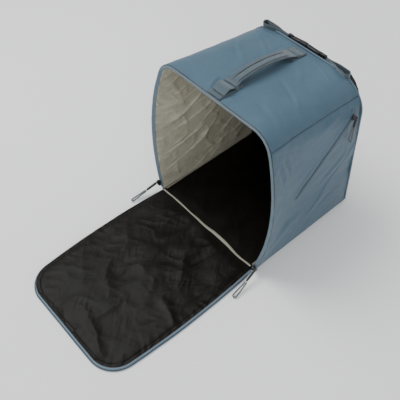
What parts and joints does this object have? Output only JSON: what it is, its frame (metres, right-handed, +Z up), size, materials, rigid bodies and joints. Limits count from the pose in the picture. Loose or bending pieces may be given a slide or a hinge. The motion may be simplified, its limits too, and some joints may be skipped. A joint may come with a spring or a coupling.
{
  "type": "ski boot bag",
  "caption": "Soft ski boot bag with a drop-down front door, two-slider zip, arched carry handle, slanted side zip pockets, rear strap with side-release buckle and a padded back.",
  "frame": {"origin": "middle of the base's underside, on the floor", "axes": "+Z up, +X to the bag's right-hand side, -Y out of the mouth along the open door"},
  "size_m": [0.367, 0.7181, 0.4121],
  "materials": {
    "outer_fabric": "slate-blue coated weave with soft wrinkles",
    "base_fabric": "black coated weave",
    "foam": "closed-cell foam",
    "board": "stiffening sheet",
    "lining": "thin beige-grey nylon with puckers",
    "tarp_liner": "black-brown coated tarp, wrinkled and slightly glossy",
    "binding": "beige grosgrain binding",
    "piping": "covered piping",
    "zip_tape": "light blue zip tape",
    "zip_coil": "black nylon coil",
    "slider": "black enamelled slider",
    "pull": "black moulded grip",
    "cord": "grey braided cord",
    "webbing": "cool grey webbing",
    "buckle": "black acetal",
    "back_mesh": "brownish-grey spacer mesh",
    "strap_fabric": "dark padded fabric",
    "dark_webbing": "dark webbing"
  },
  "bodies": {
    "bag": {"top_panel": "outer_fabric", "right_side_panel": "outer_fabric", "left_side_panel": "outer_fabric", "base_panel": "base_fabric", "back_panel": "outer_fabric", "top_foam": "foam", "right_side_foam": "foam", "left_side_foam": "foam", "base_board": "board", "back_board": "board", "top_lining": "lining", "right_lining": "lining", "left_lining": "lining", "floor_liner": "tarp_liner", "back_liner": "tarp_liner", "hinge_fold": "binding", "hinge_binding": "binding", "right_floor_binding": "binding", "left_floor_binding": "binding", "rear_piping": "piping", "rim_zip_tape": "zip_tape", "rim_zip_coil": "zip_coil", "right_pocket_tape": "zip_tape", "left_pocket_tape": "zip_tape", "right_pocket_coil": "zip_coil", "left_pocket_coil": "zip_coil", "handle_base_webbing": "webbing", "handle_front_end": "webbing", "handle_rear_end": "webbing", "left_web_loop": "webbing", "buckle_socket": "buckle", "back_padding": "back_mesh", "right_shoulder_strap": "strap_fabric", "left_shoulder_strap": "strap_fabric", "right_strap_lock": "buckle", "left_strap_lock": "buckle", "right_low_webbing": "dark_webbing", "left_low_webbing": "dark_webbing"},
    "door": {"door_panel": "outer_fabric", "door_foam": "foam", "door_liner": "tarp_liner", "door_edge_band": "zip_tape", "door_zip_tape": "zip_tape", "door_zip_coil": "zip_coil"},
    "right_slider": {"right_main_slider": "slider"},
    "left_slider": {"left_main_slider": "slider"},
    "right_pull": {"right_main_pull": "pull", "right_main_cord": "cord"},
    "left_pull": {"left_main_pull": "pull", "left_main_cord": "cord"},
    "right_pocket_runner": {"right_pocket_slider": "slider"},
    "left_pocket_runner": {"left_pocket_slider": "slider"},
    "right_pocket_tab": {"right_pocket_pull": "pull", "right_pocket_cord": "cord"},
    "left_pocket_tab": {"left_pocket_pull": "pull", "left_pocket_cord": "cord"},
    "grip": {"handle_grip": "webbing"},
    "plug": {"buckle_plug": "buckle", "right_web_loop": "webbing"}
  },
  "joints": [
    {"name": "door_fold", "type": "hinge", "parent": "bag", "child": "door", "pos_m": [0, -0.156, 0.01], "axis": [-1, 0, 0], "range_deg": [0, 91.3]},
    {"name": "right_slider_travel", "type": "hinge", "parent": "bag", "child": "right_slider", "pos_m": [-0.49883, -0.15216, 0.17907], "axis": [0, -0.9997, 0.0227], "range_deg": [0, 26.34]},
    {"name": "left_slider_travel", "type": "hinge", "parent": "bag", "child": "left_slider", "pos_m": [0.49883, -0.15216, 0.17907], "axis": [0, 0.9997, -0.0227], "range_deg": [0, 26.34]},
    {"name": "right_pull_swing", "type": "hinge", "parent": "right_slider", "child": "right_pull", "pos_m": [0.16882, -0.16076, 0.02501], "axis": [-0.9743, 0.0051, 0.225], "range_deg": [0, 50]},
    {"name": "left_pull_swing", "type": "hinge", "parent": "left_slider", "child": "left_pull", "pos_m": [-0.16882, -0.16076, 0.02501], "axis": [-0.9743, -0.0051, -0.225], "range_deg": [0, 50]},
    {"name": "right_pocket_zip", "type": "slide", "parent": "bag", "child": "right_pocket_runner", "axis": [0.0007, -0.69, -0.7238], "range_m": [0, 0.17]},
    {"name": "left_pocket_zip", "type": "slide", "parent": "bag", "child": "left_pocket_runner", "axis": [-0.0007, -0.69, -0.7238], "range_m": [0, 0.17]},
    {"name": "right_pocket_pull_swing", "type": "hinge", "parent": "right_pocket_runner", "child": "right_pocket_tab", "pos_m": [0.16836, 0.08717, 0.31694], "axis": [1, 0, 0], "range_deg": [-20, 20]},
    {"name": "left_pocket_pull_swing", "type": "hinge", "parent": "left_pocket_runner", "child": "left_pocket_tab", "pos_m": [-0.16836, 0.08717, 0.31694], "axis": [1, 0, 0], "range_deg": [-20, 20]},
    {"name": "handle_tilt", "type": "hinge", "parent": "bag", "child": "grip", "pos_m": [0, -0.13379, 0.4003], "axis": [0, 0.997, -0.0773], "range_deg": [-18, 18]},
    {"name": "buckle_release", "type": "slide", "parent": "bag", "child": "plug", "axis": [1, 0, 0], "range_m": [0, 0.036]}
  ],
  "couplings": [
    {"joint": "right_slider_travel", "follows": "door_fold", "ratio": 0.28848},
    {"joint": "left_slider_travel", "follows": "door_fold", "ratio": 0.28848}
  ]
}
